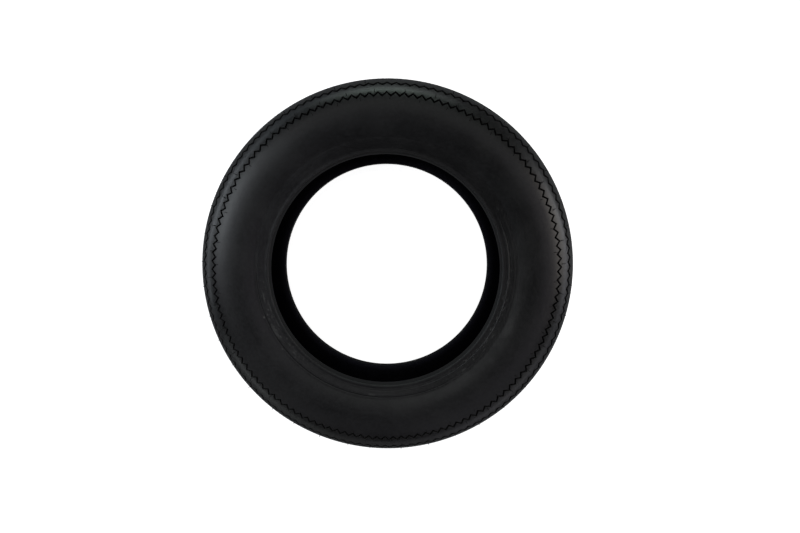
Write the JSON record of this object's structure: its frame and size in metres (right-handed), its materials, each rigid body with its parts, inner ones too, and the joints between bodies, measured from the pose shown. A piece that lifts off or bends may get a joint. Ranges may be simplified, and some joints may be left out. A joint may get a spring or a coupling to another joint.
{
  "type": "motorcycle tyre",
  "caption": "Tubeless crossply motorcycle tyre off its rim, with zigzag tread grooves running round a square-shouldered crown and two round bead seats.",
  "frame": {"origin": "centre of the tyre, on its axis and midway between the two sidewalls", "axes": "+Z along the axis of rotation, towards the sidewall that faces up as it lies flat; +Y is the top of the tyre as the camera sees it"},
  "size_m": [0.6276, 0.6276, 0.1632],
  "materials": {
    "tyre": "satin black moulded rubber, dusty in places near the beads"
  },
  "bodies": {
    "root": {"tyre": "tyre"}
  },
  "joints": []
}
